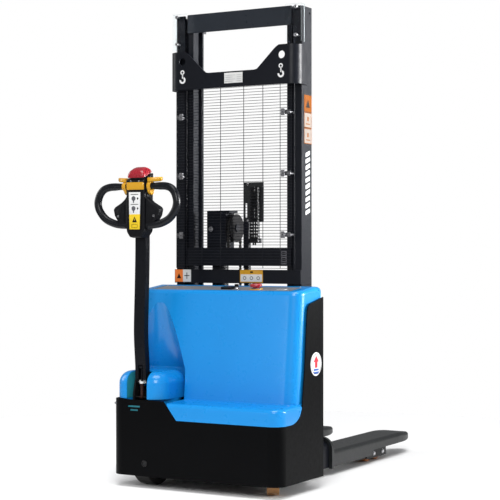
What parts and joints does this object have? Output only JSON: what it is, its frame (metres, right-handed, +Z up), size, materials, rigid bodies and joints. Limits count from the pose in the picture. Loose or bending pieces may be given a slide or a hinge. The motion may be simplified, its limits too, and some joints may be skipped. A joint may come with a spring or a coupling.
{
  "type": "walkie stacker",
  "caption": "Walk-behind electric pallet stacker with a telescopic duplex mast, fork carriage, side tiller with thumb throttle, straddle legs and a moulded hood.",
  "frame": {"origin": "on the floor in the machine's centre plane, straight below the front face of the skirt", "axes": "+X to the machine's right seen from the tiller side, +Y towards the fork tips, +Z up"},
  "size_m": [0.887, 1.635, 2],
  "materials": {
    "skirt_black": "satin, fine texture",
    "hood_blue": "gloss",
    "panel_grey": "fine texture",
    "pod_black": "semi-gloss",
    "mast_black": "satin",
    "frame_black": "satin",
    "fork_grey": "satin",
    "arm_black": "satin",
    "grip_grey": "fine texture",
    "signal_red": "gloss",
    "signal_yellow": "semi-gloss",
    "wheel_orange": "polyurethane tread",
    "wheel_black": "polyurethane tread",
    "bright_steel": "zinc plated",
    "cylinder_steel": "satin",
    "rod_chrome": "polished",
    "chain_steel": "oiled",
    "sheave_steel": "machined",
    "motor_black": "satin",
    "gearbox_grey": "cast",
    "battery_case": "matte",
    "controller_metal": "cast",
    "clear_guard": "clear polycarbonate",
    "label_stock": "printed film, blank",
    "hose_black": "chain links"
  },
  "bodies": {
    "chassis": {"chassis_frame": "frame_black", "skirt_panel": "skirt_black", "hood_cover": "hood_blue", "instrument_panel": "panel_grey", "display_pod": "pod_black", "battery": "battery_case", "hydraulic_unit": "motor_black", "drive_controller": "controller_metal", "leg_left": "fork_grey", "leg_right": "fork_grey", "bright_fasteners": "bright_steel", "mast_rail_outer_left": "mast_black", "mast_rail_outer_right": "mast_black", "mast_foot": "mast_black", "mast_low_bar": "mast_black", "crane_plate": "mast_black", "mesh_guard": "mast_black", "top_guards": "clear_guard", "label_plates": "label_stock", "lift_cylinder_tubes": "cylinder_steel", "hose_guide": "hose_black"},
    "inner_mast": {"mast_rail_inner_left": "mast_black", "mast_rail_inner_right": "mast_black", "inner_top_bar": "mast_black", "inner_mid_bar": "mast_black", "inner_bottom_bar": "mast_black", "lift_cylinder_rods": "rod_chrome", "free_lift_tube": "cylinder_steel", "lift_chain_front": "chain_steel"},
    "crosshead_unit": {"crosshead": "mast_black", "free_lift_rod": "rod_chrome", "chain_wrap": "chain_steel"},
    "sheave": {"chain_sheave": "sheave_steel"},
    "carriage": {"carriage_frame": "mast_black", "fork_left": "fork_grey", "fork_right": "fork_grey", "lift_chain_rear": "chain_steel"},
    "steer_unit": {"drive_dome": "hood_blue", "drive_gearbox": "gearbox_grey", "traction_motor": "motor_black", "tiller_pivot": "frame_black"},
    "traction_wheel": {"drive_wheel": "wheel_black"},
    "gas_spring_body": {"gas_spring_tube": "cylinder_steel"},
    "gas_spring_plunger": {"gas_spring_rod": "rod_chrome"},
    "tiller": {"tiller_arm": "arm_black", "tiller_head": "grip_grey", "handle_loops": "grip_grey"},
    "throttle": {"throttle_paddles": "signal_yellow"},
    "belly": {"belly_button": "signal_red"},
    "horn": {"horn_button": "grip_grey"},
    "lift_control": {"lift_rocker": "grip_grey"},
    "caster_yoke": {"caster_fork": "frame_black"},
    "caster_roller": {"caster_wheel": "wheel_orange"},
    "estop": {"estop_button": "signal_red"},
    "ignition_key": {"key": "bright_steel"},
    "roller_lr": {"load_roller_left_rear": "wheel_orange"},
    "roller_lf": {"load_roller_left_front": "wheel_orange"},
    "roller_rr": {"load_roller_right_rear": "wheel_orange"},
    "roller_rf": {"load_roller_right_front": "wheel_orange"}
  },
  "joints": [
    {"name": "mast_lift", "type": "slide", "parent": "chassis", "child": "inner_mast", "axis": [0, 0, 1], "range_m": [0, 1.45]},
    {"name": "free_lift", "type": "slide", "parent": "inner_mast", "child": "crosshead_unit", "axis": [0, 0, 1], "range_m": [0, 0.65], "deforming": ["lift_chain_front"]},
    {"name": "carriage_lift", "type": "slide", "parent": "crosshead_unit", "child": "carriage", "axis": [0, 0, 1], "range_m": [0, 0.65], "deforming": ["lift_chain_rear"]},
    {"name": "sheave_turn", "type": "hinge", "parent": "crosshead_unit", "child": "sheave", "pos_m": [-0.06, 0.44, 1.075], "axis": [1, 0, 0], "range_deg": [0, 746]},
    {"name": "steer", "type": "hinge", "parent": "chassis", "child": "steer_unit", "pos_m": [-0.274, 0.125, 0.28], "axis": [0, 0, 1], "range_deg": [-75, 75]},
    {"name": "drive_roll", "type": "hinge", "parent": "steer_unit", "child": "traction_wheel", "pos_m": [-0.274, 0.125, 0.105], "axis": [1, 0, 0], "continuous": true},
    {"name": "tiller_tilt", "type": "hinge", "parent": "steer_unit", "child": "tiller", "pos_m": [-0.274, 0.06, 0.433], "axis": [1, 0, 0], "range_deg": [0, 80], "stiffness_Nm_per_rad": 30, "springref_deg": -20.05},
    {"name": "gas_tube_swing", "type": "hinge", "parent": "steer_unit", "child": "gas_spring_body", "pos_m": [-0.274, 0.04538, 0.36967], "axis": [1, 0, 0], "range_deg": [0, 40.5]},
    {"name": "gas_rod_swing", "type": "hinge", "parent": "tiller", "child": "gas_spring_plunger", "pos_m": [-0.274, 0.04318, 0.49578], "axis": [1, 0, 0], "range_deg": [-40.5, 0]},
    {"name": "throttle_twist", "type": "hinge", "parent": "tiller", "child": "throttle", "pos_m": [-0.274, 0.015, 1.243], "axis": [1, 0, 0], "range_deg": [-35, 35], "stiffness_Nm_per_rad": 0.5},
    {"name": "belly_press", "type": "slide", "parent": "tiller", "child": "belly", "axis": [0, 0, -1], "range_m": [0, 0.008], "stiffness_N_per_m": 1500, "springref_m": -0.004},
    {"name": "horn_press", "type": "slide", "parent": "tiller", "child": "horn", "axis": [0, -1, 0], "range_m": [0, 0.004], "stiffness_N_per_m": 800, "springref_m": -0.002},
    {"name": "lift_rock", "type": "hinge", "parent": "tiller", "child": "lift_control", "pos_m": [-0.274, 0.054, 1.16], "axis": [1, 0, 0], "range_deg": [-8, 8], "stiffness_Nm_per_rad": 0.3},
    {"name": "caster_swivel", "type": "hinge", "parent": "chassis", "child": "caster_yoke", "pos_m": [0.288, 0.149, 0.15], "axis": [0, 0, 1], "continuous": true},
    {"name": "caster_roll", "type": "hinge", "parent": "caster_yoke", "child": "caster_roller", "pos_m": [0.30286, 0.12294, 0.065], "axis": [0.8687, 0.4954, 0], "continuous": true},
    {"name": "estop_press", "type": "slide", "parent": "chassis", "child": "estop", "axis": [0, 0.1149, -0.9934], "range_m": [0, 0.004]},
    {"name": "key_turn", "type": "hinge", "parent": "chassis", "child": "ignition_key", "pos_m": [0.062, 0.25, 0.81894], "axis": [0, -0.1149, 0.9934], "range_deg": [0, 90]},
    {"name": "load_roll_lr", "type": "hinge", "parent": "chassis", "child": "roller_lr", "pos_m": [-0.205, 1.156, 0.04], "axis": [1, 0, 0], "continuous": true},
    {"name": "load_roll_lf", "type": "hinge", "parent": "chassis", "child": "roller_lf", "pos_m": [-0.205, 1.251, 0.04], "axis": [1, 0, 0], "continuous": true},
    {"name": "load_roll_rr", "type": "hinge", "parent": "chassis", "child": "roller_rr", "pos_m": [0.205, 1.156, 0.04], "axis": [1, 0, 0], "continuous": true},
    {"name": "load_roll_rf", "type": "hinge", "parent": "chassis", "child": "roller_rf", "pos_m": [0.205, 1.251, 0.04], "axis": [1, 0, 0], "continuous": true}
  ],
  "couplings": [
    {"joint": "carriage_lift", "follows": "free_lift", "ratio": 1},
    {"joint": "sheave_turn", "follows": "free_lift", "rad_per_m": 20},
    {"joint": "gas_tube_swing", "follows": "tiller_tilt", "ratio": 0.5},
    {"joint": "gas_rod_swing", "follows": "tiller_tilt", "ratio": -0.5}
  ]
}
